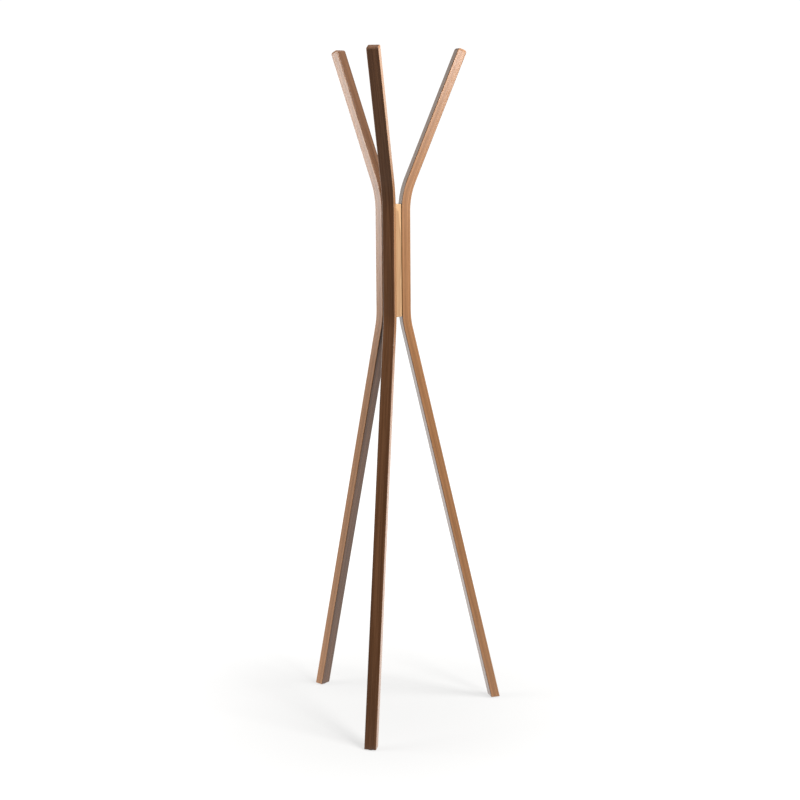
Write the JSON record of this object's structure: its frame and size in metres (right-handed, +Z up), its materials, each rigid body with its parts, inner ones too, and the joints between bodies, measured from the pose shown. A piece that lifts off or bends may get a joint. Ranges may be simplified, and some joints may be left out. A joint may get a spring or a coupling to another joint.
{
  "type": "standing coat rack",
  "caption": "Free-standing coat rack of bent wooden bars around a short core, splayed as legs below and as arms above.",
  "frame": {"origin": "on the floor, in the middle of the rack's plan", "axes": "+Z up; -Y towards the front bar; +X towards the right bar's side"},
  "size_m": [0.5262, 0.4562, 1.754],
  "materials": {
    "bar_wood": "satin brown walnut stain over lengthwise grain",
    "core_wood": "clear satin lacquer on light wood",
    "dowel_wood": "unfinished fluted beech",
    "glide_plastic": "moulded dark nylon",
    "nail_steel": "plain bright steel"
  },
  "bodies": {
    "root": {"hub_core": "core_wood", "bar_front": "bar_wood", "bar_left": "bar_wood", "bar_right": "bar_wood", "dowel_front_lower": "dowel_wood", "dowel_front_upper": "dowel_wood", "dowel_left_lower": "dowel_wood", "dowel_left_upper": "dowel_wood", "dowel_right_lower": "dowel_wood", "dowel_right_upper": "dowel_wood", "glide_front": "glide_plastic", "glide_left": "glide_plastic", "glide_right": "glide_plastic", "glide_nail_front": "nail_steel", "glide_nail_left": "nail_steel", "glide_nail_right": "nail_steel"}
  },
  "joints": []
}
